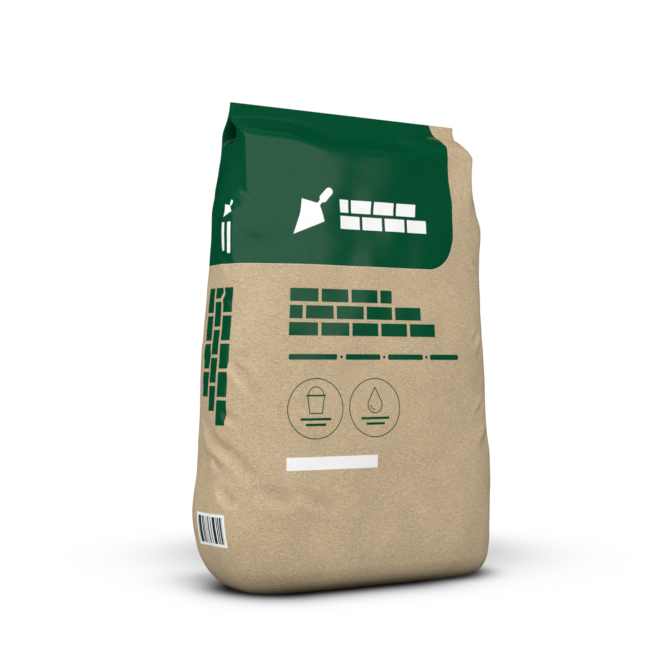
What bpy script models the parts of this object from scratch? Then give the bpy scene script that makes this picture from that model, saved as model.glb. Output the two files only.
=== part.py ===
"""A filled 25 kg paper sack of cement, standing upright.

Metres, +Z up. The printed front faces -Y and the base rests on z = 0, with
the origin under the middle of the sack. The sack is a gusseted paper tube:
its sides fold in under a flat pinched seam along the top, and the powder
pushes it out to a rounded block below.
"""
from math import ceil, cos, pi, sin

import bmesh
import bpy

COLLECTION_NAME = "cement_sack"
SACK_NAME = "filled_sack"

# Driving dimensions
SACK_HEIGHT = 0.540
SACK_WIDTH = 0.366
SACK_DEPTH = 0.140
SEAM_WIDTH = 0.300
SEAM_HEIGHT = 0.013
SEAM_THICKNESS = 0.0024

# The powder's block is widest and deepest this far above the floor
BULGE_HEIGHT = 0.090
# The front shoulder, where the front panel turns in towards the seam
SHOULDER_HEIGHT = 0.492
SHOULDER_FRONT = 0.049
# How far the side gussets fold in below the seam, the share of the sack's
# depth that the fold's mouth takes, and the share of its width past which
# the fold begins
TUCK_DEPTH = 0.030
TUCK_MOUTH = 0.8
TUCK_START = 0.6

# Fineness of the mesh
POINTS_AROUND = 52
LARGEST_STEP = 0.024

KRAFT_COLOUR = (0.55, 0.44, 0.30, 1.0)
KRAFT_ROUGHNESS = 0.85

HALF_WIDTH = SACK_WIDTH / 2
HALF_DEPTH = SACK_DEPTH / 2
HALF_SEAM = SEAM_WIDTH / 2
HALF_THICKNESS = SEAM_THICKNESS / 2
SEAM_FOOT = SACK_HEIGHT - SEAM_HEIGHT

# Sections of the sack from the floor up. Each has its height, its reach to
# the left, right, front and back, its squareness (2 is an ellipse, and large
# values are a box with sharp corners) and how far its gussets fold in.
SECTIONS = [
    (0.000, 0.140, 0.160, 0.043, 0.038, 4.0, 0.0),
    (0.008, 0.154, 0.173, 0.058, 0.056, 3.6, 0.0),
    (0.025, 0.167, 0.179, 0.067, 0.066, 3.4, 0.0),
    (0.055, 0.178, 0.182, 0.0695, 0.069, 3.4, 0.0),
    (BULGE_HEIGHT, HALF_WIDTH, HALF_WIDTH, HALF_DEPTH, HALF_DEPTH, 3.4, 0.0),
    (0.140, 0.179, 0.182, 0.070, 0.069, 3.4, 0.0),
    (0.200, 0.177, 0.179, 0.068, 0.068, 3.4, 0.0),
    (0.260, 0.174, 0.176, 0.067, 0.066, 3.4, 0.0),
    (0.320, 0.170, 0.173, 0.065, 0.063, 3.4, 0.0),
    (0.380, 0.166, 0.173, 0.062, 0.058, 3.5, 0.0),
    (0.425, 0.163, 0.170, 0.059, 0.052, 4.0, 0.0),
    (0.455, 0.158, 0.163, 0.057, 0.044, 5.0, 0.006),
    (0.476, 0.154, 0.158, 0.054, 0.036, 6.0, 0.016),
    (SHOULDER_HEIGHT, 0.152, 0.156, SHOULDER_FRONT, 0.028, 7.0, 0.025),
    (0.504, 0.151, 0.154, 0.035, 0.021, 8.0, TUCK_DEPTH),
    (0.514, 0.150, 0.151, 0.019, 0.013, 9.0, TUCK_DEPTH),
    (0.522, HALF_SEAM, HALF_SEAM, 0.006, 0.006, 10.0, 0.018),
    (SEAM_FOOT, HALF_SEAM, HALF_SEAM, HALF_THICKNESS, HALF_THICKNESS, 12.0, 0.0),
    (SACK_HEIGHT, HALF_SEAM, HALF_SEAM, HALF_THICKNESS, HALF_THICKNESS, 12.0, 0.0),
]


def clear_scene():
    """Remove every object, so that the script can be run again."""
    for item in list(bpy.data.objects):
        bpy.data.objects.remove(item, do_unlink=True)


def slopes(heights, values):
    """Slopes at the sections that never overshoot between two of them."""
    steps = [high - low for low, high in zip(heights, heights[1:])]
    rates = [(end - start) / step for start, end, step in zip(values, values[1:], steps)]
    result = [rates[0]]
    for index in range(1, len(values) - 1):
        before, after = rates[index - 1], rates[index]
        if before * after <= 0:
            result.append(0.0)
            continue
        weight_before = 2 * steps[index] + steps[index - 1]
        weight_after = steps[index] + 2 * steps[index - 1]
        total = weight_before + weight_after
        result.append(total / (weight_before / before + weight_after / after))
    result.append(rates[-1])
    return result


def hermite(share, step, start, end, slope_start, slope_end):
    """A smooth curve between two sections, at a share of the way up."""
    square, cube = share ** 2, share ** 3
    return (
        (2 * cube - 3 * square + 1) * start
        + (cube - 2 * square + share) * step * slope_start
        + (3 * square - 2 * cube) * end
        + (cube - square) * step * slope_end
    )


def rows_of_sections():
    """The sections, with smooth ones between those that lie far apart."""
    heights = [section[0] for section in SECTIONS]
    columns = list(zip(*SECTIONS))[1:]
    column_slopes = [slopes(heights, column) for column in columns]
    rows = []
    for index in range(len(SECTIONS) - 1):
        step = heights[index + 1] - heights[index]
        pieces = ceil(step / LARGEST_STEP)
        for piece in range(pieces):
            share = piece / pieces
            row = [heights[index] + share * step]
            for column, slope in zip(columns, column_slopes):
                ends = column[index], column[index + 1]
                rates = slope[index], slope[index + 1]
                row.append(hermite(share, step, *ends, *rates))
            rows.append(row)
    rows.append(list(SECTIONS[-1]))
    return rows


def signed_power(value, exponent):
    """A power that keeps the sign of its base."""
    return abs(value) ** exponent if value >= 0 else -abs(value) ** exponent


def section_outline(left, right, front, back, squareness, tuck):
    """Points around one section, anticlockwise seen from above."""
    outline = []
    for index in range(POINTS_AROUND):
        angle = 2 * pi * index / POINTS_AROUND
        across = signed_power(round(cos(angle), 9), 2 / squareness)
        along = signed_power(round(sin(angle), 9), 2 / squareness)
        mouth = max(0.0, 1 - (along / TUCK_MOUTH) ** 2) ** 1.5
        side = max(0.0, (abs(across) - TUCK_START) / (1 - TUCK_START))
        reach = (right if across > 0 else left) - tuck * mouth * side
        outline.append((across * reach, along * (back if along > 0 else front)))
    return outline


def filled_sack():
    """The paper sack and its powder as one closed loft."""
    shape = bmesh.new()
    rings = []
    for height, *section in rows_of_sections():
        outline = section_outline(*section)
        rings.append([shape.verts.new((x, y, height)) for x, y in outline])
    for lower, upper in zip(rings, rings[1:]):
        for index in range(POINTS_AROUND):
            after = (index + 1) % POINTS_AROUND
            shape.faces.new((lower[index], lower[after], upper[after], upper[index]))
    shape.faces.new(reversed(rings[0]))
    shape.faces.new(rings[-1])
    bmesh.ops.recalc_face_normals(shape, faces=shape.faces)
    mesh = bpy.data.meshes.new(SACK_NAME)
    shape.to_mesh(mesh)
    shape.free()
    mesh.shade_smooth()
    mesh.set_sharp_from_angle(angle=pi / 4)
    return bpy.data.objects.new(SACK_NAME, mesh)


def kraft_paper():
    """Unbleached sack paper: pale brown and matt."""
    material = bpy.data.materials.new("kraft_paper")
    material.use_nodes = True
    shader = material.node_tree.nodes["Principled BSDF"]
    shader.inputs["Base Color"].default_value = KRAFT_COLOUR
    shader.inputs["Roughness"].default_value = KRAFT_ROUGHNESS
    shader.inputs["Metallic"].default_value = 0.0
    return material


def main():
    clear_scene()
    collection = bpy.data.collections.new(COLLECTION_NAME)
    bpy.context.scene.collection.children.link(collection)
    sack = filled_sack()
    sack.data.materials.append(kraft_paper())
    collection.objects.link(sack)


main()
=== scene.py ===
"""Looks of a filled paper cement sack, standing on a pale studio floor.

The sack's skin is one sheet of paper. A point on it has paper coordinates:
along the sheet's width, from 0 at the middle of the front panel, positive
towards +X, to half the girth at the glued seam behind, and its height above
the floor. Metres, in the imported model's frame.
"""

from math import cos, hypot, pi, radians, sin

import bmesh
import bpy
import numpy as np
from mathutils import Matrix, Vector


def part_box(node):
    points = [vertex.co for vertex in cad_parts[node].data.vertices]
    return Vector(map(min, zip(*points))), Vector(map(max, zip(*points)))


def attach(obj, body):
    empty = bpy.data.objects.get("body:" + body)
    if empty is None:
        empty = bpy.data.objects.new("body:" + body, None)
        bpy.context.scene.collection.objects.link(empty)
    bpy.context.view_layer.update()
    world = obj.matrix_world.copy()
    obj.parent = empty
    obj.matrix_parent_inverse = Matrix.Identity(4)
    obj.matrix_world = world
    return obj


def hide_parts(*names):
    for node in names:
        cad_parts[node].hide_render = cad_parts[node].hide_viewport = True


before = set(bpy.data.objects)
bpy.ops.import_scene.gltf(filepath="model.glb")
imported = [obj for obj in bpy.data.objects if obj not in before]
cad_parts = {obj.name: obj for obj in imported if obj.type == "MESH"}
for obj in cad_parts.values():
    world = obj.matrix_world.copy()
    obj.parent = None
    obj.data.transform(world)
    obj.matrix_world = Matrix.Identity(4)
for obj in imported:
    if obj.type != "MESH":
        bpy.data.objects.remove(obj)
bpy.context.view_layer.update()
sack_low, sack_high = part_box("filled_sack")

# Driving dimensions. The sections below are drawn for a sack DRAWN_HEIGHT
# tall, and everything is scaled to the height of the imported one.
DRAWN_HEIGHT = 0.540
SCALE = (sack_high.z - sack_low.z) / DRAWN_HEIGHT
HALF_PANEL = 0.150
GUSSET = 0.125
HALF_GIRTH = 2 * HALF_PANEL + GUSSET

# The block of powder, from the floor up: height, then reach to the left,
# right, front and back, and squareness (2 is an ellipse).
BODY_SECTIONS = np.array([
    (0.000, 0.122, 0.157, 0.0290, 0.026, 4.3),
    (0.002, 0.1315, 0.166, 0.0378, 0.036, 4.1),
    (0.004, 0.1385, 0.1708, 0.0438, 0.042, 3.8),
    (0.008, 0.1472, 0.1758, 0.0522, 0.051, 3.5),
    (0.012, 0.1535, 0.1785, 0.0582, 0.057, 3.3),
    (0.020, 0.162, 0.181, 0.0650, 0.064, 3.2),
    (0.030, 0.1690, 0.182, 0.0692, 0.068, 3.2),
    (0.055, 0.1785, 0.1835, 0.0716, 0.070, 3.3),
    (0.090, 0.185, 0.1835, 0.072, 0.071, 3.3),
    (0.140, 0.179, 0.185, 0.071, 0.070, 3.3),
    (0.200, 0.177, 0.179, 0.069, 0.069, 3.3),
    (0.260, 0.174, 0.177, 0.067, 0.067, 3.3),
    (0.320, 0.169, 0.173, 0.065, 0.064, 3.3),
    (0.380, 0.166, 0.174, 0.062, 0.059, 3.3),
    (0.410, 0.165, 0.176, 0.060, 0.056, 3.4),
    (0.443, 0.163, 0.168, 0.056, 0.051, 3.8),
    (0.540, 0.150, 0.150, 0.040, 0.010, 5.0),
])

# The folded top: height, then how far forward the front lies at its left
# fold and right fold, then at the left, middle and right of its wall, how
# far back the back lies at its folds and middle, how far the left and right
# gussets bulge out and tuck in, and how closed the tuck is.
TOP_SECTIONS = np.array([
    (0.410, 0.042, 0.046, 0.0540, 0.060, 0.0545, 0.048, 0.055, 0.014, 0.026, 0.0, 0.0, 1.0),
    (0.430, 0.036, 0.044, 0.0530, 0.058, 0.0520, 0.044, 0.052, 0.012, 0.024, 0.0, 0.0, 1.0),
    (0.452, 0.029, 0.043, 0.0510, 0.0560, 0.0470, 0.038, 0.046, 0.008, 0.010, 0.0, 0.0, 1.0),
    (0.474, 0.025, 0.042, 0.0500, 0.0545, 0.0420, 0.030, 0.037, 0.001, 0.001, 0.0, 0.0, 1.0),
    (0.487, 0.0235, 0.042, 0.0493, 0.0538, 0.0405, 0.0245, 0.031, 0.0, 0.0, 0.001, 0.002, 1.0),
    (0.4965, 0.0230, 0.0415, 0.0484, 0.0530, 0.0405, 0.0212, 0.0255, 0.0, 0.0, 0.006, 0.010, 1.0),
    (0.5017, 0.0215, 0.0375, 0.0472, 0.0518, 0.0403, 0.0195, 0.0225, 0.0, 0.0, 0.022, 0.024, 1.0),
    (0.5074, 0.0190, 0.0300, 0.0400, 0.0460, 0.0385, 0.0160, 0.0180, 0.0, 0.0, 0.044, 0.044, 1.4),
    (0.5130, 0.0140, 0.0215, 0.0295, 0.0355, 0.0320, 0.0105, 0.0120, 0.0, 0.0, 0.054, 0.054, 1.8),
    (0.5189, 0.0055, 0.0125, 0.0190, 0.0230, 0.0230, 0.0050, 0.0060, 0.0, 0.0, 0.058, 0.058, 2.6),
    (0.5250, 0.0014, 0.0025, 0.0105, 0.0130, 0.0120, 0.0022, 0.0026, 0.0, 0.0, 0.060, 0.060, 4.0),
    (0.5300, 0.0012, 0.0012, 0.0065, 0.0085, 0.0075, 0.0014, 0.0016, 0.0, 0.0, 0.060, 0.060, 6.0),
    (0.5400, 0.0012, 0.0012, 0.0014, 0.0016, 0.0016, 0.0012, 0.0012, 0.0, 0.0, 0.060, 0.060, 6.0),
])
# The powder's shape turns into the folded one between these heights
FOLD_FROM, FOLD_TO = 0.412, 0.446
FRONT_SQUARENESS = 3.6
BACK_SQUARENESS = 8.0
# Shares of the half width between which the front wall runs from its middle
# to its ends, and from where on the front's spare length is taken up
WALL_TURN = (0.15, 0.80)
SPARE_FROM = 0.08
# The share of a closed gusset's thickness that keeps its two walls apart
FOLD_GAP = 0.03

# How much lower the shoulder of the front lies in its middle, the shares of
# the half width over which that fades to the left and to the right, and the
# heights over which it comes and goes
SHOULDER_SAG = 0.0130
SAG_FADES_LEFT, SAG_FADES_RIGHT = (0.22, 0.80), (0.3, 0.8)
SAG_COMES, SAG_GOES = (0.455, 0.487), (0.494, 0.534)
# How much higher the rim of a gusset's pocket lies in front and lower at the back
RIM_RISE, RIM_FALL = 0.0125, 0.0070
# How much the seam's top edge rises in all, and from its middle to its left
# end, and the heights over which the rise comes
SEAM_RISE, SEAM_SLOPE = 0.0002, 0.0008
SEAM_COMES = (0.48, 0.54)
# How much further out the seam's foot reaches at its left end, over which
# heights, and over which shares of the half width
LEFT_FLARE = 0.0024
FLARE_COMES, FLARE_GOES, FLARE_SHARES = (0.495, 0.514), (0.518, 0.540), (0.7, 1.0)

# Fineness of the skin, and how finely the outlines are worked out
COLUMNS = 340
ROW_STEPS = [(0.000, 0.0012), (0.030, 0.0030), (0.410, 0.0018), (0.527, 0.0014)]
BASE_RINGS = 10
POWDER_SAMPLES, FRONT_SAMPLES, FOLD_SAMPLES = 400, 1600, 260
# How wide the base's core is, to which its rings shrink
BASE_CORE = 0.62

# Evening out of the skin: rounds, strength, and the heights over which it goes
SOFTEN_ROUNDS, SOFTEN_STRENGTH, SOFTEN_GOES = 6, 0.5, (0.44, 0.50)
# Heights over which lumps and creases come above the floor and go below the seam
RELIEF_COMES, RELIEF_GOES = (0.0, 0.03), (0.48, 0.52)
# Broad and fine lumps: seed, number of waves, shortest and longest wave, and size
BROAD_LUMPS = (3, 24, 0.07, 0.16, 0.0007)
FINE_LUMPS = (5, 30, 0.025, 0.05, 0.00018)

# Creases in the paper: width, depth, and the paper coordinates they pass
# through, downwards. The ridge lies to the left of the line, the valley to
# its right.
CREASES = [
    (0.0060, 0.0004, [(-0.180, 0.432), (-0.158, 0.404)]),
    (0.0050, 0.0004, [(-0.176, 0.419), (-0.152, 0.394)]),
    (0.0060, 0.0003, [(-0.164, 0.392), (-0.152, 0.370)]),
    (0.0040, 0.0018, [(-0.168, 0.262), (-0.158, 0.252)]),
    (0.0050, 0.0038, [(-0.180, 0.256), (-0.160, 0.234), (-0.142, 0.210)]),
    (0.0040, 0.0028, [(-0.184, 0.200), (-0.166, 0.184)]),
    (0.0055, 0.0044, [(-0.212, 0.186), (-0.200, 0.168), (-0.172, 0.152), (-0.144, 0.122)]),
    (0.0040, 0.0026, [(-0.198, 0.150), (-0.186, 0.136)]),
    (0.0050, 0.0030, [(-0.186, 0.120), (-0.166, 0.098)]),
    (0.0080, 0.0024, [(-0.146, 0.114), (-0.100, 0.098)]),
    (0.0060, 0.0018, [(-0.102, 0.114), (-0.052, 0.086)]),
    (0.0050, 0.0024, [(0.166, 0.290), (0.146, 0.262)]),
    (0.0060, 0.0022, [(0.170, 0.180), (0.140, 0.158)]),
]
# A crease's profile, in its widths: how far its valley and its ridge lie from
# the line, and the ridge's width and height. Then how fast it fades towards
# its ends, and the depth from which its painted shade and highlight are full.
CREASE_OFFSET, RIDGE_WIDTH, RIDGE_HEIGHT = 0.9, 1.1, 0.8
CREASE_FADE = 0.7
FULL_CREASE_SHADE_DEPTH = 0.0025

# Small creases at the folds of the gussets and on the back: how many, the
# folds they gather at, how far from them, and the ranges they are drawn from
SMALL_CREASES = 34
SMALL_CREASE_SEED = 11
SMALL_CREASE_FOLDS = [-0.275, -0.2125, 0.157, 0.2125, 0.275, 0.36, -0.36]
ON_BACK, SPREAD_ON_BACK, SPREAD_AT_FOLD = 0.3, 0.045, 0.012
SMALL_CREASE_HEIGHTS, SMALL_CREASE_RUNS = (0.05, 0.45), (0.012, 0.045)
SMALL_CREASE_LEANS, SMALL_CREASE_BENDS = (0.5, 1.2), (-0.2, 0.2)
SMALL_CREASE_WIDTHS, SMALL_CREASE_DEPTHS = (0.003, 0.006), (0.0008, 0.0020)

# The glued seam up the back: where its edge lies, how far it stands out, half
# the width of that edge, and the width over which its other side fades out
BACK_SEAM, BACK_SEAM_HEIGHT = 0.402, 0.0006
BACK_SEAM_EDGE, BACK_SEAM_FADE = 0.0015, 0.020

# How far inside a gusset's fold its painted shade is full, and the heights over which that comes
POCKET_SHADE_DEPTH = 0.015
POCKET_SHADE_COMES = (0.48, 0.50)

# The map for baking: the sheet lies in its upper part, with the base and the
# top edge below it. The top edge is stretched, as it is thin.
SHEET_LEFT, SHEET_SPAN = 0.005, 0.99
SHEET_LOW, SHEET_HIGH = 0.14, 0.995
BASE_PLACE = (0.22, 0.065)
TOP_EDGE_PLACE, TOP_EDGE_STRETCH = (0.75, 0.06), 4
# The base's paper coordinates, clear of all print
BASE_PAPER_HEIGHT, BASE_PAPER_SHARE = -0.06, 0.5

# Print, in paper coordinates. Boxes have their middle, size and corner radius.
LABEL = ((-0.0573, 0.145), (0.1095, 0.0140), 0.0004)
BAR_PANEL = ((-0.199, 0.0742), (0.050, 0.0355), 0.0004)
# Upright bars on the small panel: a bar's unit of width, the share of bare
# units and the panel's margin
BAR_UNIT, BARE_SHARE, BAR_MARGIN = 0.0008, 0.36, 0.0032
# Walls of bricks: their corner, a brick's size, the joint and where each
# course ends. The side wall is turned, so that its courses run downwards.
FRONT_WALL = ((-0.112, 0.283), (0.0350, 0.0145), 0.0040, (0.1910, 0.1715, 0.1325))
HEADER_WALL = ((-0.047, 0.4015), (0.0268, 0.0145), 0.0038, (0.1186, 0.1033))
SIDE_WALL = ((-0.2265, 0.335), (0.0270, 0.0140), 0.0034, (0.1182, 0.1334, 0.1486))
# The row of dashes with dots between them
DASHES = ((-0.111, -0.0535), (-0.0425, 0.0030), (0.0130, 0.0600), (0.0700, 0.112))
DOTS = (-0.048, 0.008, 0.065)
ROW_HEIGHT, DASH_THICKNESS, DASH_CORNER, DOT_RADIUS = 0.260, 0.0062, 0.0016, 0.0017
# The two rings, their pictures and the two lines under each picture
RING_HEIGHT, RING_THICKNESS = 0.204, 0.0011
BUCKET_RING, DROP_RING = (-0.0785, 0.0326), (-0.0053, 0.0322)
PICTURE_HEIGHT, PICTURE_SIZE = 0.2115, 1.2
RING_LINES = ((0.1925, 0.036), (0.1865, 0.024))
LINE_THICKNESS, LINE_CORNER = 0.0028, 0.0008
# The trowels on the header and up the side: middle, turn and size
HEADER_TROWEL = ((-0.0830, 0.4190), -45, 1.28)
SIDE_TROWEL = ((-0.1875, 0.4205), -45, 0.44)
SIDE_BARS = (
    ((-0.1865, 0.3890), (0.0050, 0.034), 0.0012),
    ((-0.1965, 0.3905), (0.0050, 0.031), 0.0012),
)
# The header: where it ends on the front, how far it reaches round the left
# side and the back, and its foot, height and corner radius
HEADER_END, HEADER_REACH = 0.113, 0.651
HEADER_FOOT, HEADER_HEIGHT, HEADER_CORNER = 0.3605, 0.5, 0.040
# Half the width over which ink ends, and how far pale primer shows round the header
INK_EDGE = 0.00018
PRIMER_WIDTH, PRIMER_SHARE = 0.0007, 0.35

# Colours: dark and light paper, green ink and white ink, then the bars and the painted shade in the
# pockets
DARK_KRAFT, LIGHT_KRAFT = (0.430, 0.331, 0.207, 1), (0.704, 0.540, 0.338, 1)
DARK_GREEN, LIGHT_GREEN = (0.0006, 0.070, 0.027, 1), (0.0012, 0.086, 0.033, 1)
DARK_WHITE, LIGHT_WHITE = (0.95, 0.95, 0.945, 1), (0.99, 0.99, 0.985, 1)
BAR_COLOUR = (0.020, 0.050, 0.040, 1)
POCKET_SHADE_COLOUR, POCKET_SHADE_SHARE = (0.0, 0.0, 0.0, 1), 0.85
# Noise in the paper and the ink: scale, detail, roughness and stretch
GRAIN, FIBRES, CLOUD = (900, 3, 0.6), (190, 4, 0.6, (1.0, 1.0, 4.0)), (26, 3, 0.5)
INK_PATCHES = (300, 3, 0.6)
# Shares of grain, fibres and cloud in the paper's tone, the range of tones
# from dark to light, and how much painted shade darkens a crease's valley and painted highlight
# lightens its ridge
TONE_SHARES, TONE_RANGE, CREASE_SHADE_TONE = (0.60, 0.30, 0.10), (0.40, 0.60), 0.050
# Most noise lies in this range
NOISE_RANGE = (0.3, 0.7)
# Gloss: roughness of the paper in its noise's range and of the ink, and the reflections' strength
PAPER_ROUGHNESS, INK_ROUGHNESS, REFLECTIONS = (0.42, 0.54), 0.18, 0.225
# Relief of the surface: shares of grain and fibres, strength on paper and on ink, and depth
RELIEF_SHARES, PAPER_RELIEF, INK_RELIEF, RELIEF_DEPTH = (0.6, 0.4), 0.55, 0.10, 0.0004

# Camera: where it stands, which way it looks and its lens
CAMERA_PLACE = (-0.8037, -1.3179, 0.2504)
CAMERA_YAW = -30.772
CAMERA_TILT = 1.425
CAMERA_LENS = 72.30
SENSOR_WIDTH = 36

# Light: softboxes with their azimuths and radiance, and whether gloss shows them, then a
# softbox overhead and the sky
PANEL_DISTANCE = 2.2
PANEL_HEIGHTS = (0.38, 1.80)
PANELS = (
    ("softbox_left", -97, -36, 1.60, True),
    ("softbox_front", -36, 28, 1.60, True),
    ("softbox_right", 28, 33, 0.34, True),
    ("fill_left", -150, -97, 0.55, False),
    ("fill_back", 110, 210, 0.50, False),
)
TOP_PLACE, TOP_SIZE, TOP_RADIANCE = (0.0, 0.1, 2.6), (2.2, 0.7), 0.18
HORIZON_LIGHT = 0.42
ZENITH_LIGHT = 0.75

# The floor: its size, how far it lies below the sack, how much of its light
# reaches the sack and how fast that falls off in shadow, and its faint grain
FLOOR_SIZE, FLOOR_DROP = 12, 0.0003
FLOOR_BOUNCE, BOUNCE_POWER = 0.45, 2.6
FLOOR_GRAIN, FLOOR_GRAIN_RANGE = (60, 3, 0.6), (0.998, 1.004)
# Its painted shadows: the soft one round the base and the tight one at the foot, each
# with its place, size, corners, spread and depth, how far these two grow
# lighter behind the sack, and the wide one painted behind it, away from the softboxes
BASE_SHADOW = ((-0.0134, 0.0438), (0.172, 0.119), 0.016, 0.058, 0.97)
FOOT_SHADOW = ((0.0265, 0.0268), (0.319, 0.109), 0.059, 0.027, 0.95)
BEHIND_FROM, BEHIND_TO, BEHIND_SHARE = 0.045, 0.105, 0.78
WIDE_SHADOW_CENTRE, WIDE_SHADOW_RADIUS = (0.140, 0.229), 0.22
WIDE_SHADOW_SPREAD, WIDE_SHADOW_DEPTH = 0.036, 0.5
LARGEST_EXPONENT = 20.0


def smooth_share(value, low, high):
    """0 below low, 1 above high, and a smooth rise between them."""
    share = np.clip((value - low) / (high - low), 0, 1)
    return share * share * (3 - 2 * share)


def between_sections(table, heights):
    """Rows of a table of sections at any heights, on curves that never overshoot."""
    knots = table[:, 0]
    steps = np.diff(knots)
    columns = []
    for values in table[:, 1:].T:
        rates = np.diff(values) / steps
        slopes = np.zeros(len(knots))
        slopes[0], slopes[-1] = rates[0], rates[-1]
        for i in range(1, len(knots) - 1):
            if rates[i - 1] * rates[i] > 0:
                before = 2 * steps[i] + steps[i - 1]
                after = steps[i] + 2 * steps[i - 1]
                slopes[i] = (before + after) / (before / rates[i - 1] + after / rates[i])
        i = np.clip(np.searchsorted(knots, heights) - 1, 0, len(steps) - 1)
        t = np.clip((heights - knots[i]) / steps[i], 0, 1)
        columns.append(
            (2 * t**3 - 3 * t**2 + 1) * values[i]
            + (t**3 - 2 * t**2 + t) * steps[i] * slopes[i]
            + (3 * t**2 - 2 * t**3) * values[i + 1]
            + (t**3 - t**2) * steps[i] * slopes[i + 1]
        )
    return np.array(columns).T


def powder_outline(across, left, right, front, back, squareness):
    """The outline round the powder at paper coordinates across."""
    angle = np.linspace(0, pi / 2, POWDER_SAMPLES)
    side_share = np.sin(angle) ** (2 / squareness)
    depth_share = np.cos(angle) ** (2 / squareness)
    x, y = np.zeros_like(across), np.zeros_like(across)
    quarter = HALF_GIRTH / 2
    reach = np.abs(across)
    for sign, width in ((-1, left), (1, right)):
        on_side = across < 0 if sign < 0 else across >= 0
        for facing, depth in ((-1, front), (1, back)):
            curve_x, curve_y = side_share * width, depth_share * depth
            steps = np.hypot(np.diff(curve_x), np.diff(curve_y))
            length = np.concatenate([[0], np.cumsum(steps)])
            length /= length[-1]
            on_face = on_side & ((reach <= quarter) if facing < 0 else (reach > quarter))
            share = reach[on_face] if facing < 0 else HALF_GIRTH - reach[on_face]
            share = share / quarter
            x[on_face] = sign * np.interp(share, length, curve_x)
            y[on_face] = facing * np.interp(share, length, curve_y)
    return x, y


def front_wall(share, left, middle, right):
    """How far forward the front wall lies, at a share of its half width."""
    ends = np.where(share < 0, left, right)
    return middle + (ends - middle) * smooth_share(np.abs(share), *WALL_TURN)


def folded_outline(across, left_fold, right_fold, left_wall, middle, right_wall, back_fold,
                   back_middle, left_bulge, right_bulge, left_tuck, right_tuck, slit):
    """The outline of the folded top at paper coordinates across."""
    reach = np.abs(across)
    side = np.where(across < 0, -1.0, 1.0)
    x, y = np.zeros_like(across), np.zeros_like(across)

    angle = np.linspace(-pi / 2, pi / 2, FRONT_SAMPLES)
    span = np.sign(angle) * np.abs(np.sin(angle)) ** (2 / FRONT_SQUARENESS)
    rounding = np.cos(angle).clip(0) ** (2 / FRONT_SQUARENESS)
    fold = np.where(span < 0, left_fold, right_fold)
    forward = fold + (front_wall(span, left_wall, middle, right_wall) - fold) * rounding
    length = np.hypot(np.diff(HALF_PANEL * span), np.diff(forward)).cumsum()
    length = np.concatenate([[0], length])
    length -= length[len(length) // 2]
    spare = np.where(across < 0, -length[0], length[-1]) - HALF_PANEL
    front = reach <= HALF_PANEL
    place = across + side * spare * smooth_share(reach, SPARE_FROM, HALF_PANEL)
    x[front] = np.interp(place[front], length, HALF_PANEL * span)
    y[front] = -np.interp(place[front], length, forward)

    back = reach >= HALF_PANEL + GUSSET
    share = (HALF_GIRTH - reach[back]) / HALF_PANEL
    x[back] = side[back] * HALF_PANEL * share
    y[back] = back_fold + (back_middle - back_fold) * (1 - share ** BACK_SQUARENESS)

    sides = ((-1, left_fold, left_bulge, left_tuck), (1, right_fold, right_bulge, right_tuck))
    for sign, front_fold, bulge, tuck in sides:
        gusset = ~front & ~back & (side == sign)
        share = 2 * (reach[gusset] - HALF_PANEL) / GUSSET - 1
        half = (front_fold + back_fold) / 2
        apart = (1 - FOLD_GAP) * np.abs(share) ** slit + FOLD_GAP * np.abs(share)
        x[gusset] = sign * (HALF_PANEL + bulge * (1 - share**2) - tuck * (1 - np.abs(share)))
        y[gusset] = (back_fold - front_fold) / 2 + half * np.sign(share) * apart
    return x, y


def row_heights():
    """Heights of the skin's rows, close together where it turns."""
    heights = []
    ends = [start for start, _ in ROW_STEPS[1:]] + [DRAWN_HEIGHT]
    for (start, step), end in zip(ROW_STEPS, ends):
        count = max(1, round((end - start) / step))
        heights.extend(np.linspace(start, end, count, endpoint=False))
    return np.array(heights + [DRAWN_HEIGHT])


def fold_heights(heights, across):
    """Heights at which the folded sections are read for x and for y, by row and column."""
    u, v = np.meshgrid(across, heights)
    share = u / HALF_PANEL
    to_left, to_right = smooth_share(-share, *SAG_FADES_LEFT), smooth_share(share, *SAG_FADES_RIGHT)
    bow = 1 - np.where(share < 0, to_left, to_right)
    bow *= smooth_share(v, *SAG_COMES) * (1 - smooth_share(v, *SAG_GOES))
    for_y = v + SHOULDER_SAG * bow
    across_gusset = 2 * (np.abs(u) - HALF_PANEL) / GUSSET - 1
    slant = (RIM_FALL + RIM_RISE) * (across_gusset + 1) / 2 - RIM_RISE
    slant = np.where(np.abs(across_gusset) < 1, slant, SHOULDER_SAG * bow)
    return v + slant, for_y


def skin_grid():
    """Heights, paper coordinates across, and the points of the smooth skin."""
    heights = row_heights()
    across = -HALF_GIRTH + 2 * HALF_GIRTH * np.arange(COLUMNS) / COLUMNS
    points = np.zeros((len(heights), COLUMNS, 3))
    for row, section in enumerate(between_sections(BODY_SECTIONS, heights)):
        points[row, :, 0], points[row, :, 1] = powder_outline(across, *section)

    knots = np.linspace(FOLD_FROM, DRAWN_HEIGHT, FOLD_SAMPLES)
    sections = between_sections(TOP_SECTIONS, knots)
    folded = np.array([folded_outline(across, *section) for section in sections])
    read_at = fold_heights(heights, across)
    fold = smooth_share(heights, FOLD_FROM, FOLD_TO)
    for column in range(COLUMNS):
        for axis in (0, 1):
            top = np.interp(read_at[axis][:, column], knots, folded[:, axis, column])
            points[:, column, axis] += (top - points[:, column, axis]) * fold
    points[:, :, 2] = heights[:, None]
    return heights, across, points


def grid_normals(points):
    """Outward normals of the skin's grid, which closes on itself around."""
    along = np.roll(points, -1, 1) - np.roll(points, 1, 1)
    up = np.gradient(points, axis=0)
    normals = np.cross(along, up)
    return normals / np.maximum(np.linalg.norm(normals, axis=2, keepdims=True), 1e-12)


def soften(points, strength):
    """Evens the skin out between neighbours, strength by row."""
    for _ in range(SOFTEN_ROUNDS):
        around = (np.roll(points, -1, 1) + np.roll(points, 1, 1)) / 2
        points = points + (around - points) * strength[:, None, None]
    return points


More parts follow.
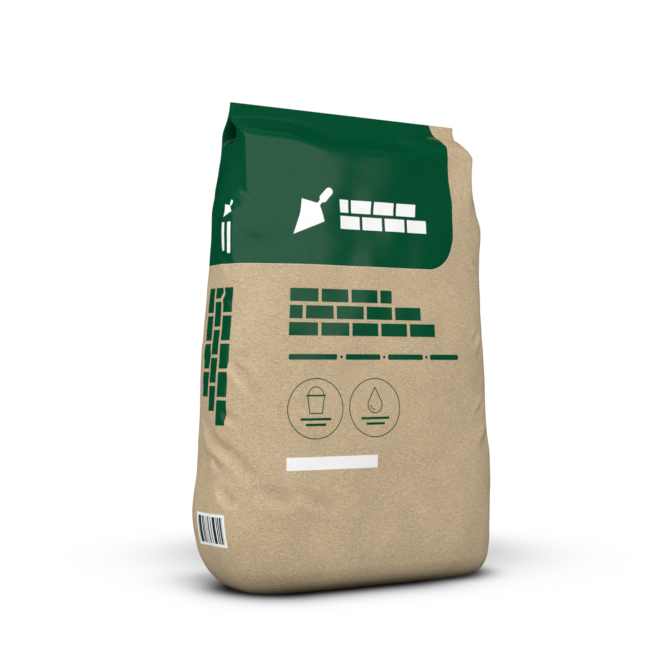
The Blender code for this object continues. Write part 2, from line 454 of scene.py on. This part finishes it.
def small_creases():
    """Short creases that fan out from the folds of the gussets, and some on the back."""
    draw = np.random.default_rng(SMALL_CREASE_SEED)
    creases = []
    for _ in range(SMALL_CREASES):
        at_fold = draw.choice(SMALL_CREASE_FOLDS)
        spread = SPREAD_ON_BACK if abs(at_fold) > ON_BACK else SPREAD_AT_FOLD
        u = at_fold + draw.uniform(-spread, spread)
        v = draw.uniform(*SMALL_CREASE_HEIGHTS)
        lean = draw.uniform(*SMALL_CREASE_LEANS) * draw.choice([-1, 1])
        half_run = draw.uniform(*SMALL_CREASE_RUNS) / 2
        bent = lean + draw.uniform(*SMALL_CREASE_BENDS)
        middle = (u + half_run * sin(lean), v - half_run * cos(lean))
        end = (middle[0] + half_run * sin(bent), middle[1] - half_run * cos(bent))
        width = draw.uniform(*SMALL_CREASE_WIDTHS)
        depth = draw.uniform(*SMALL_CREASE_DEPTHS)
        creases.append((width, depth, [(u, v), middle, end]))
    return creases


def crease_depths(heights, across):
    """How far the creases push each point of the skin in, and their painted shade: 1 in a valley,
    and below 0, a painted highlight, on a ridge.
    """
    u, v = np.meshgrid(across, heights)
    depth, crease_shading = np.zeros_like(u), np.zeros_like(u)
    for width, deep, line in CREASES + small_creases():
        line = np.array(line)
        lengths = np.hypot(*np.diff(line, axis=0).T)
        done = 0.0
        nearest = np.full_like(u, 1.0)
        off, run = np.zeros_like(u), np.zeros_like(u)
        for start, end, length in zip(line, line[1:], lengths):
            du, dv = (end - start) / length
            along = ((u - start[0]) * du + (v - start[1]) * dv).clip(0, length)
            away = np.hypot(u - start[0] - du * along, v - start[1] - dv * along)
            sign = np.sign((v - start[1]) * du - (u - start[0]) * dv)
            closer = away < nearest
            off = np.where(closer, away * sign, off)
            run = np.where(closer, (done + along) / lengths.sum(), run)
            nearest = np.where(closer, away, nearest)
            done += length
        fade = np.clip(run * (1 - run) * 4, 0, 1) ** CREASE_FADE
        valley = np.exp(-((off - CREASE_OFFSET * width) / width) ** 2)
        ridge = np.exp(-((off + CREASE_OFFSET * width) / (RIDGE_WIDTH * width)) ** 2)
        fold = fade * (valley - RIDGE_HEIGHT * ridge)
        depth += deep * fold
        crease_shading += fold * min(1.0, deep / FULL_CREASE_SHADE_DEPTH)
    return depth, crease_shading


def lumps(points, seed, count, shortest, longest, size):
    """Smooth unevenness: a sum of waves through space in all directions."""
    draw = np.random.default_rng(seed)
    total = np.zeros(points.shape[:2])
    for _ in range(count):
        direction = draw.normal(size=3)
        direction /= np.linalg.norm(direction)
        wave = draw.uniform(shortest, longest)
        total += np.sin(2 * pi * (points @ direction) / wave + draw.uniform(0, 2 * pi))
    return total * size / (count / 2) ** 0.5


def back_seam(across):
    """How far the sheet's overlap stands out: a sharp edge on one side, a soft one on the other."""
    edge = smooth_share(across, BACK_SEAM - BACK_SEAM_EDGE, BACK_SEAM + BACK_SEAM_EDGE)
    return edge + 1 - smooth_share(across, -HALF_GIRTH, -HALF_GIRTH + BACK_SEAM_FADE)


def displaced_skin():
    """The skin with its lumps and creases, and the painted shade and highlight along the creases.
    """
    heights, across, points = skin_grid()
    points = soften(points, SOFTEN_STRENGTH * (1 - smooth_share(heights, *SOFTEN_GOES)))
    normals = grid_normals(points)
    free = smooth_share(heights, *RELIEF_COMES) * (1 - smooth_share(heights, *RELIEF_GOES))
    depth, crease_shading = crease_depths(heights, across)
    push = lumps(points, *BROAD_LUMPS) + lumps(points, *FINE_LUMPS)
    push -= depth
    push += BACK_SEAM_HEIGHT * back_seam(across)
    points = points + normals * (push * free[:, None])[:, :, None]
    rise = SEAM_RISE - SEAM_SLOPE * points[..., 0] / HALF_PANEL
    points[..., 2] += rise * smooth_share(heights, *SEAM_COMES)[:, None]
    flare = smooth_share(heights, *FLARE_COMES) * (1 - smooth_share(heights, *FLARE_GOES))
    to_left = smooth_share(-points[..., 0] / HALF_PANEL, *FLARE_SHARES)
    points[..., 0] -= LEFT_FLARE * flare[:, None] * to_left
    points[..., 2] = np.maximum(points[..., 2], 0)
    return heights, across, points, crease_shading


def pocket_shade_depths(heights, across, points):
    """How deep inside a gusset's fold each point lies, which sets the painted shade there: 1 at the
    depth of full shade or more.
    """
    in_gusset = np.abs(2 * (np.abs(across) - HALF_PANEL) / GUSSET - 1) < 1
    deep = ((HALF_PANEL - np.abs(points[..., 0])) / POCKET_SHADE_DEPTH).clip(0, 1)
    return deep * in_gusset * smooth_share(heights, *POCKET_SHADE_COMES)[:, None]


def build_skin():
    """The skin as an object whose mesh is closed at the top edge and the base."""
    heights, across, points, crease_shading = displaced_skin()
    shape = bmesh.new()
    crease_shade_layer = shape.verts.layers.float.new("crease_shade")
    pocket_shade = shape.verts.layers.float.new("pocket_shade")
    paper = shape.loops.layers.uv.new("paper")
    bake = shape.loops.layers.uv.new("OFBake")
    rings = [[shape.verts.new(p) for p in row] for row in points * SCALE]
    # Each point gets the painted shade and highlight of the creases and the painted shade deep in
    # the gussets' folds
    for ring, crease_shadings, depths in zip(rings, crease_shading, pocket_shade_depths(heights, across, points)):
        for vert, value, depth in zip(ring, crease_shadings, depths):
            vert[crease_shade_layer], vert[pocket_shade] = value, depth
    add_sheet(shape, rings, heights, across[0], paper, bake)
    add_top_edge(shape, rings[-1], paper, bake)
    add_base(shape, rings[0], paper, bake)
    mesh = bpy.data.meshes.new("paper_sack")
    shape.normal_update()
    shape.to_mesh(mesh)
    shape.free()
    mesh.shade_smooth()
    skin = bpy.data.objects.new("paper_sack", mesh)
    bpy.context.scene.collection.objects.link(skin)
    return skin


def add_sheet(shape, rings, heights, start, paper, bake):
    """The faces of the sheet round the sack, with its paper coordinates and map for baking."""
    step = 2 * HALF_GIRTH / COLUMNS
    for row in range(len(rings) - 1):
        for column in range(COLUMNS):
            after = (column + 1) % COLUMNS
            face = shape.faces.new((rings[row][column], rings[row][after],
                                    rings[row + 1][after], rings[row + 1][column]))
            corners = ((column, row), (column + 1, row), (column + 1, row + 1), (column, row + 1))
            for loop, (i, j) in zip(face.loops, corners):
                loop[paper].uv = (start + i * step, heights[j])
                loop[bake].uv = (
                    SHEET_LEFT + SHEET_SPAN * i / COLUMNS,
                    SHEET_LOW + (SHEET_HIGH - SHEET_LOW) * heights[j] / DRAWN_HEIGHT,
                )


def top_columns():
    """Columns of each face along the top edge, which the gussets split towards its ends."""
    step = 2 * HALF_GIRTH / COLUMNS
    front, fold, half_gusset = COLUMNS // 2, round(HALF_PANEL / step), round(GUSSET / 2 / step)
    faces = []
    # From each fold inwards, then at the gussets' middles, then straight from front to back
    for at in (fold, front - fold, front + fold, COLUMNS - fold):
        faces.append((at - 1, at, at + 1))
        for k in range(1, half_gusset):
            faces.append((at - k - 1, at - k, at + k, at + k + 1))
    for at in (fold + half_gusset, COLUMNS - fold - half_gusset):
        faces.append((at - 2 * half_gusset, at, at + 2 * half_gusset))
    for k in range(half_gusset - fold, fold - half_gusset):
        faces.append((front + k, front + k + 1, -k - 1, -k))
    return faces


def add_top_edge(shape, ring, paper, bake):
    """Closes the seam along its top edge."""
    for columns in top_columns():
        face = shape.faces.new([ring[column] for column in columns])
        for loop in face.loops:
            x, y = loop.vert.co.x, loop.vert.co.y
            loop[paper].uv = (x / SCALE, DRAWN_HEIGHT)
            loop[bake].uv = (TOP_EDGE_PLACE[0] + x, TOP_EDGE_PLACE[1] + y * TOP_EDGE_STRETCH)


def add_base(shape, edge, paper, bake):
    """Closes the base in rings that shrink towards its middle, and a fan inside them."""
    ring = edge
    for number in range(1, BASE_RINGS):
        keep = 1 - number / BASE_RINGS
        width = BASE_CORE + (1 - BASE_CORE) * keep
        inner = [shape.verts.new((vert.co.x * width, vert.co.y * keep, 0)) for vert in edge]
        for column in range(COLUMNS):
            after = (column + 1) % COLUMNS
            face = shape.faces.new((inner[column], inner[after], ring[after], ring[column]))
            base_uv(face, paper, bake)
        ring = inner
    centre = shape.verts.new((sum(vert.co.x for vert in ring) / COLUMNS, 0, 0))
    for column in range(COLUMNS):
        face = shape.faces.new((centre, ring[(column + 1) % COLUMNS], ring[column]))
        base_uv(face, paper, bake)


def base_uv(face, paper, bake):
    """Lays a face of the base out on both maps, clear of the sheet around."""
    for loop in face.loops:
        x, y = loop.vert.co.x / SCALE, loop.vert.co.y / SCALE
        loop[paper].uv = (x, BASE_PAPER_HEIGHT + y * BASE_PAPER_SHARE)
        loop[bake].uv = (BASE_PLACE[0] + x, BASE_PLACE[1] + y)


class Graph:
    """Short ways to add nodes to a material."""

    def __init__(self, name):
        self.material = bpy.data.materials.new(name)
        self.material.use_nodes = True
        self.tree = self.material.node_tree
        self.shader = self.tree.nodes["Principled BSDF"]

    def node(self, kind, inputs=(), **settings):
        node = self.tree.nodes.new(kind)
        for key, value in settings.items():
            setattr(node, key, value)
        for key, value in dict(inputs).items():
            self.feed(node.inputs[key], value)
        return node

    def feed(self, socket, value):
        if isinstance(value, bpy.types.NodeSocket):
            self.tree.links.new(value, socket)
        else:
            socket.default_value = value

    def math(self, operation, *values):
        node = self.tree.nodes.new("ShaderNodeMath")
        node.operation = operation
        for socket, value in zip(node.inputs, values):
            self.feed(socket, value)
        return node.outputs[0]

    def add(self, a, b):
        return self.math("ADD", a, b)

    def subtract(self, a, b):
        return self.math("SUBTRACT", a, b)

    def multiply(self, a, b):
        return self.math("MULTIPLY", a, b)

    def least(self, *values):
        result = values[0]
        for value in values[1:]:
            result = self.math("MINIMUM", result, value)
        return result

    def most(self, *values):
        result = values[0]
        for value in values[1:]:
            result = self.math("MAXIMUM", result, value)
        return result

    def length(self, a, b):
        return self.math("SQRT", self.add(self.multiply(a, a), self.multiply(b, b)))

    def range(self, value, low, high, to_low=0.0, to_high=1.0):
        node = self.node("ShaderNodeMapRange", {
            "Value": value, "From Min": low, "From Max": high,
            "To Min": to_low, "To Max": to_high,
        })
        return node.outputs[0]

    def mix(self, share, a, b):
        """A colour between two."""
        node = self.tree.nodes.new("ShaderNodeMix")
        node.data_type = "RGBA"
        self.feed(node.inputs[0], share)
        self.feed(node.inputs[6], a)
        self.feed(node.inputs[7], b)
        return node.outputs[2]

    def blend(self, share, a, b):
        """A number between two."""
        node = self.tree.nodes.new("ShaderNodeMix")
        self.feed(node.inputs[0], share)
        self.feed(node.inputs[2], a)
        self.feed(node.inputs[3], b)
        return node.outputs[0]

    def noise(self, place, scale, detail, roughness, stretch=None):
        if stretch:
            place = self.node("ShaderNodeMapping", {"Vector": place, "Scale": stretch}).outputs[0]
        node = self.node("ShaderNodeTexNoise", {
            "Vector": place, "Scale": scale, "Detail": detail, "Roughness": roughness,
        })
        return node.outputs[0]

    def attribute(self, name):
        return self.node("ShaderNodeAttribute", attribute_name=name).outputs["Fac"]


# Print. Every shape is a distance in metres, negative inside it, and ink()
# turns it into a share of ink with a slightly soft edge.
def ink(g, distance):
    """Share of ink, 1 inside a shape."""
    return g.range(distance, INK_EDGE, -INK_EDGE)


def box_shape(g, u, v, centre, size, radius=0.0006):
    """A rectangle with rounded corners."""
    over_u = g.add(g.math("ABSOLUTE", g.subtract(u, centre[0])), radius - size[0] / 2)
    over_v = g.add(g.math("ABSOLUTE", g.subtract(v, centre[1])), radius - size[1] / 2)
    outside = g.length(g.most(over_u, 0.0), g.most(over_v, 0.0))
    inside = g.least(g.most(over_u, over_v), 0.0)
    return g.subtract(g.add(outside, inside), radius)


def disc_shape(g, u, v, centre, radius):
    return g.subtract(g.length(g.subtract(u, centre[0]), g.subtract(v, centre[1])), radius)


def outline_of(g, distance, thickness):
    """A line along a shape's edge."""
    return g.subtract(g.math("ABSOLUTE", distance), thickness / 2)


def rod_shape(g, u, v, centre, low, high, radius):
    """A stroke with round ends along v, from low to high."""
    clamped = g.least(g.most(v, low), high)
    return g.subtract(g.length(g.subtract(u, centre), g.subtract(v, clamped)), radius)


def side_of_line(g, u, v, start, end):
    """Distance to the right of the line from start to end."""
    run = hypot(end[0] - start[0], end[1] - start[1])
    du, dv = (end[0] - start[0]) / run, (end[1] - start[1]) / run
    from_u, from_v = g.subtract(u, start[0]), g.subtract(v, start[1])
    return g.subtract(g.multiply(from_u, dv), g.multiply(from_v, du))


def polygon_shape(g, u, v, corners):
    """A convex shape through its corners, given anticlockwise."""
    sides = [side_of_line(g, u, v, a, b) for a, b in zip(corners, corners[1:] + corners[:1])]
    return g.most(*sides)


def turned(g, u, v, centre, degrees, size=1.0):
    """Coordinates about a centre, turned and scaled for drawing a picture there."""
    c, s = cos(radians(degrees)) / size, sin(radians(degrees)) / size
    x, y = g.subtract(u, centre[0]), g.subtract(v, centre[1])
    return g.add(g.multiply(x, c), g.multiply(y, s)), g.subtract(g.multiply(y, c), g.multiply(x, s))


def trowel_shape(g, x, y):
    """A pointing trowel, point down, about 50 mm tall."""
    point, shoulder, heel, rounding = -0.0265, (0.0125, 0.0015), 0.0090, 0.0008
    corners = [(0.0, point), shoulder, (0.0, heel), (-shoulder[0], shoulder[1])]
    blade = g.subtract(polygon_shape(g, x, y, corners), rounding)
    neck = rod_shape(g, x, y, 0.0, 0.006, 0.0145, 0.0014)
    handle = rod_shape(g, x, y, 0.0, 0.0165, 0.0255, 0.0034)
    return g.least(blade, neck, handle)


def wall_shape(g, x, y, brick, joint, ends):
    """Courses of bricks in a running bond from x = 0, y = 0 up, with one end for each course."""
    pitch_x, pitch_y = brick[0] + joint, brick[1] + joint
    course = g.math("FLOOR", g.math("DIVIDE", y, pitch_y))
    shift = g.multiply(g.math("FLOORED_MODULO", course, 2.0), pitch_x / 2)
    cell_x = g.math("FLOORED_MODULO", g.add(x, shift), pitch_x)
    cell_y = g.math("FLOORED_MODULO", y, pitch_y)
    bricks = box_shape(g, cell_x, cell_y, (brick[0] / 2, brick[1] / 2), brick)
    courses = []
    for number, end in enumerate(ends):
        middle = number * pitch_y + brick[1] / 2
        courses.append(box_shape(g, x, y, (end / 2, middle), (end, brick[1])))
    return g.most(bricks, g.least(*courses))


def bucket_shape(g, x, y):
    """A builder's bucket in outline, about 24 mm tall."""
    half_foot, half_brim, foot, brim, line = 0.0062, 0.0085, -0.0105, 0.0055, 0.0010
    corners = [(-half_foot, foot), (half_foot, foot), (half_brim, brim), (-half_brim, brim)]
    pail = outline_of(g, polygon_shape(g, x, y, corners), line)
    rim = box_shape(g, x, y, (0.0, brim), (0.0195, 0.0016))
    bow = outline_of(g, disc_shape(g, x, y, (0.0, brim), 0.0078), 0.0009)
    return g.least(pail, rim, g.most(bow, g.subtract(brim, y)))


def drop_shape(g, x, y):
    """A drop of water in outline, about 22 mm tall."""
    middle, line = -0.0035, 0.0010
    round_part = disc_shape(g, x, y, (0.0, middle), 0.0075)
    point = polygon_shape(g, x, y, [(-0.00655, 0.0002), (0.00655, 0.0002), (0.0, 0.0125)])
    arc = outline_of(g, disc_shape(g, x, y, (0.0, middle), 0.0045), 0.0009)
    shine = g.most(arc, x, g.subtract(y, middle))
    return g.least(outline_of(g, g.least(round_part, point), line), shine)


def header_shape(g, u, v):
    """The colour field round the top: the front up to its rounded corner, the left
    gusset and the back."""
    around = g.math("FLOORED_MODULO", g.subtract(HEADER_END, u), 2 * HALF_GIRTH)
    centre = (HEADER_REACH / 2, HEADER_FOOT + HEADER_HEIGHT / 2)
    return box_shape(g, around, v, centre, (HEADER_REACH, HEADER_HEIGHT), HEADER_CORNER)


def placed_wall(g, u, v, corner, *sizes):
    """A wall of bricks up from its corner."""
    return wall_shape(g, g.subtract(u, corner[0]), g.subtract(v, corner[1]), *sizes)


def dashes_and_dots(g, u, v):
    """Shapes of the row of dashes with dots between them."""
    pieces = []
    for left, right in DASHES:
        centre, size = ((left + right) / 2, ROW_HEIGHT), (right - left, DASH_THICKNESS)
        pieces.append(box_shape(g, u, v, centre, size, DASH_CORNER))
    for dot in DOTS:
        pieces.append(disc_shape(g, u, v, (dot, ROW_HEIGHT), DOT_RADIUS))
    return pieces


def ring_shapes(g, u, v, centre, radius, picture):
    """Shapes of a ring, the picture in it and the two lines under that."""
    ring = disc_shape(g, u, v, (centre, RING_HEIGHT), radius)
    x, y = turned(g, u, v, (centre, PICTURE_HEIGHT), 0, PICTURE_SIZE)
    pieces = [outline_of(g, ring, RING_THICKNESS), picture(g, x, y)]
    for height, width in RING_LINES:
        pieces.append(box_shape(g, u, v, (centre, height), (width, LINE_THICKNESS), LINE_CORNER))
    return pieces


def green_shapes(g, u, v):
    """Shapes of what is printed in green on bare paper."""
    pieces = [placed_wall(g, u, v, *FRONT_WALL)]
    pieces += dashes_and_dots(g, u, v)
    pieces += ring_shapes(g, u, v, *BUCKET_RING, bucket_shape)
    pieces += ring_shapes(g, u, v, *DROP_RING, drop_shape)
    (low, top), *sizes = SIDE_WALL
    pieces.append(wall_shape(g, g.subtract(top, v), g.subtract(u, low), *sizes))
    return pieces


def header_shapes(g, u, v):
    """Shapes of what stands white on the header."""
    pieces = [placed_wall(g, u, v, *HEADER_WALL)]
    for trowel in (HEADER_TROWEL, SIDE_TROWEL):
        pieces.append(trowel_shape(g, *turned(g, u, v, *trowel)))
    for bar in SIDE_BARS:
        pieces.append(box_shape(g, u, v, *bar))
    return pieces


def bar_pattern(g, u, panel):
    """Plain upright bars of uneven widths within the small white panel."""
    strip = g.math("FLOOR", g.multiply(u, 1 / BAR_UNIT))
    chance = g.node("ShaderNodeTexWhiteNoise", {"W": strip}, noise_dimensions="1D").outputs[0]
    dark = g.math("GREATER_THAN", chance, BARE_SHARE)
    inside = ink(g, g.add(panel, BAR_MARGIN))
    return g.multiply(dark, inside)


def weighted(g, shares, values):
    """The sum of some values, each times its share."""
    total = g.multiply(values[0], shares[0])
    for share, value in zip(shares[1:], values[1:]):
        total = g.add(total, g.multiply(value, share))
    return total


def paper_material():
    """Unbleached kraft paper with its print, painted shade and highlight along the creases, and
    painted shade deep in the gussets' folds.
    """
    g = Graph("printed_kraft_paper")
    maps = g.node("ShaderNodeUVMap", uv_map="paper")
    split = g.node("ShaderNodeSeparateXYZ", {"Vector": maps.outputs[0]})
    u, v = split.outputs[0], split.outputs[1]
    place = g.node("ShaderNodeTexCoord").outputs["Object"]

    # Paper: grain, fibres that lie mostly across, and cloudy pulp
    grain, fibres, cloud = (g.noise(place, *noise) for noise in (GRAIN, FIBRES, CLOUD))
    tone = weighted(g, TONE_SHARES, (grain, fibres, cloud))
    # Painted shade in the creases' valleys and painted highlight on their ridges
    tone = g.subtract(tone, g.multiply(g.attribute("crease_shade"), CREASE_SHADE_TONE))
    paper = g.mix(g.range(tone, *TONE_RANGE), DARK_KRAFT, LIGHT_KRAFT)

    # Print: primer, white print, green ink, bars and what stands white on the header
    header = header_shape(g, u, v)
    label, panel = box_shape(g, u, v, *LABEL), box_shape(g, u, v, *BAR_PANEL)
    white = ink(g, g.least(label, panel))
    green = ink(g, g.least(header, *green_shapes(g, u, v)))
    patchy = g.range(g.noise(place, *INK_PATCHES), *NOISE_RANGE)
    green_ink = g.mix(patchy, DARK_GREEN, LIGHT_GREEN)
    white_ink = g.mix(patchy, DARK_WHITE, LIGHT_WHITE)
    primer = ink(g, g.subtract(header, PRIMER_WIDTH))
    colour = g.mix(g.multiply(primer, PRIMER_SHARE), paper, white_ink)
    colour = g.mix(white, colour, white_ink)
    colour = g.mix(green, colour, green_ink)
    colour = g.mix(bar_pattern(g, u, panel), colour, BAR_COLOUR)
    colour = g.mix(ink(g, g.least(*header_shapes(g, u, v))), colour, white_ink)
    # Painted shade: black laid over the colour deep inside the gussets' folds
    colour = g.mix(g.multiply(g.attribute("pocket_shade"), POCKET_SHADE_SHARE), colour, POCKET_SHADE_COLOUR)
    g.feed(g.shader.inputs["Base Color"], colour)

    # Surface: satin paper with relief, and smoother, glossier ink
    inked = g.most(white, green)
    satin = g.range(grain, *NOISE_RANGE, *PAPER_ROUGHNESS)
    g.feed(g.shader.inputs["Roughness"], g.blend(inked, satin, INK_ROUGHNESS))
    g.shader.inputs["Specular IOR Level"].default_value = REFLECTIONS
    bump = g.node("ShaderNodeBump", {
        "Strength": g.blend(inked, PAPER_RELIEF, INK_RELIEF), "Distance": RELIEF_DEPTH,
        "Height": weighted(g, RELIEF_SHARES, (grain, fibres)),
    })
    g.feed(g.shader.inputs["Normal"], bump.outputs[0])
    return g.material


def soft_patch(g, x, y, centre, size, corners, spread, depth):
    """A rounded box of shadow, depth inside it, that fades out around it."""
    off = g.most(box_shape(g, x, y, centre, size, corners), 0.0)
    share = g.multiply(off, 1 / spread)
    return g.multiply(g.math("EXPONENT", g.multiply(g.multiply(share, share), -1.0)), depth)


def wide_patch(g, x, y):
    """The wide shadow behind the sack, with its soft edge."""
    off = disc_shape(g, x, y, WIDE_SHADOW_CENTRE, WIDE_SHADOW_RADIUS)
    off = g.least(g.multiply(off, 1 / WIDE_SHADOW_SPREAD), LARGEST_EXPONENT)
    return g.math("DIVIDE", WIDE_SHADOW_DEPTH, g.add(g.math("EXPONENT", off), 1.0))


def floor_material():
    """A white floor that glows overexposed, with the sack's soft shadows painted into its glow; a
    dimmer glow from it lights the sack.
    """
    g = Graph("studio_floor")
    g.shader.inputs["Base Color"].default_value = (0, 0, 0, 1)
    g.shader.inputs["Roughness"].default_value = 1.0
    g.shader.inputs["Specular IOR Level"].default_value = 0.0
    g.shader.inputs["Emission Color"].default_value = (1, 1, 1, 1)
    place = g.node("ShaderNodeTexCoord").outputs["Object"]
    split = g.node("ShaderNodeSeparateXYZ", {"Vector": place})
    x, y = split.outputs[0], split.outputs[1]
    # Painted shadows: patches that dim the floor's glow round the base, at the foot and behind the
    # sack
    behind = g.range(y, BEHIND_FROM, BEHIND_TO, 1.0, BEHIND_SHARE)
    base = g.subtract(1.0, g.multiply(soft_patch(g, x, y, *BASE_SHADOW), behind))
    foot = g.subtract(1.0, g.multiply(soft_patch(g, x, y, *FOOT_SHADOW), behind))
    lit = g.multiply(g.multiply(base, foot), g.subtract(1.0, wide_patch(g, x, y)))
    grain = g.range(g.noise(place, *FLOOR_GRAIN), *NOISE_RANGE, *FLOOR_GRAIN_RANGE)
    lit = g.multiply(lit, grain)
    bounce = g.multiply(g.math("POWER", lit, BOUNCE_POWER), FLOOR_BOUNCE)
    path = g.node("ShaderNodeLightPath").outputs["Is Camera Ray"]
    g.feed(g.shader.inputs["Emission Strength"], g.blend(path, bounce, lit))
    return g.material


def build_floor():
    bpy.ops.mesh.primitive_plane_add(size=FLOOR_SIZE, location=(0, 0, -FLOOR_DROP))
    floor = bpy.context.object
    floor.name = "studio_floor"
    floor.data.materials.append(floor_material())
    floor.visible_glossy = False
    floor.visible_shadow = False


def build_world():
    """White behind the sack, and a soft light from above that gloss doesn't show."""
    world = bpy.data.worlds.new("studio")
    bpy.context.scene.world = world
    world.use_nodes = True
    tree = world.node_tree
    background = tree.nodes["Background"]
    background.inputs["Color"].default_value = (1, 1, 1, 1)
    path = tree.nodes.new("ShaderNodeLightPath")
    place = tree.nodes.new("ShaderNodeTexCoord")
    split = tree.nodes.new("ShaderNodeSeparateXYZ")
    tree.links.new(place.outputs["Generated"], split.inputs[0])
    rise = tree.nodes.new("ShaderNodeMapRange")
    rise.inputs["From Min"].default_value = 0.0
    rise.inputs["From Max"].default_value = 1.0
    rise.inputs["To Min"].default_value = HORIZON_LIGHT
    rise.inputs["To Max"].default_value = ZENITH_LIGHT
    tree.links.new(split.outputs[2], rise.inputs["Value"])
    strength = tree.nodes.new("ShaderNodeMix")
    strength.inputs[3].default_value = 1.0
    tree.links.new(path.outputs["Is Camera Ray"], strength.inputs[0])
    tree.links.new(rise.outputs[0], strength.inputs[2])
    tree.links.new(strength.outputs[0], background.inputs["Strength"])
    world.cycles_visibility.glossy = False


def around_sack(azimuth, distance):
    """A place on the floor at an azimuth in degrees, 0 in front and 90 on the right."""
    return distance * sin(radians(azimuth)), -distance * cos(radians(azimuth))


def area_lamp(name, size, radiance):
    """An evenly bright rectangle that shines down."""
    light = bpy.data.lights.new(name, "AREA")
    light.shape = "RECTANGLE"
    light.size, light.size_y = size
    light.energy = radiance * pi * size[0] * size[1]
    lamp = bpy.data.objects.new(name, light)
    bpy.context.scene.collection.objects.link(lamp)
    return lamp


def build_panel(name, start, end, radiance, in_gloss):
    """A tall softbox that spans two azimuths round the sack, and may show in glossy print."""
    x0, y0 = around_sack(start, PANEL_DISTANCE)
    x1, y1 = around_sack(end, PANEL_DISTANCE)
    low, high = PANEL_HEIGHTS
    panel = area_lamp(name, (hypot(x1 - x0, y1 - y0), high - low), radiance)
    panel.location = ((x0 + x1) / 2, (y0 + y1) / 2, (low + high) / 2)
    panel.rotation_euler = (radians(90), 0, radians((start + end) / 2))
    panel.visible_glossy = in_gloss


def build_camera():
    data = bpy.data.cameras.new("camera")
    data.sensor_width = SENSOR_WIDTH
    data.lens = CAMERA_LENS
    camera = bpy.data.objects.new("camera", data)
    camera.location = CAMERA_PLACE
    camera.rotation_euler = (radians(90 + CAMERA_TILT), 0, radians(CAMERA_YAW))
    bpy.context.scene.collection.objects.link(camera)
    bpy.context.scene.camera = camera


build_camera()
build_floor()
build_world()
for panel in PANELS:
    build_panel(*panel)
area_lamp("softbox_top", TOP_SIZE, TOP_RADIANCE).location = TOP_PLACE
bpy.context.scene.view_settings.view_transform = "Standard"

skin = build_skin()
skin.data.materials.append(paper_material())
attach(skin, "root")
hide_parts("filled_sack")
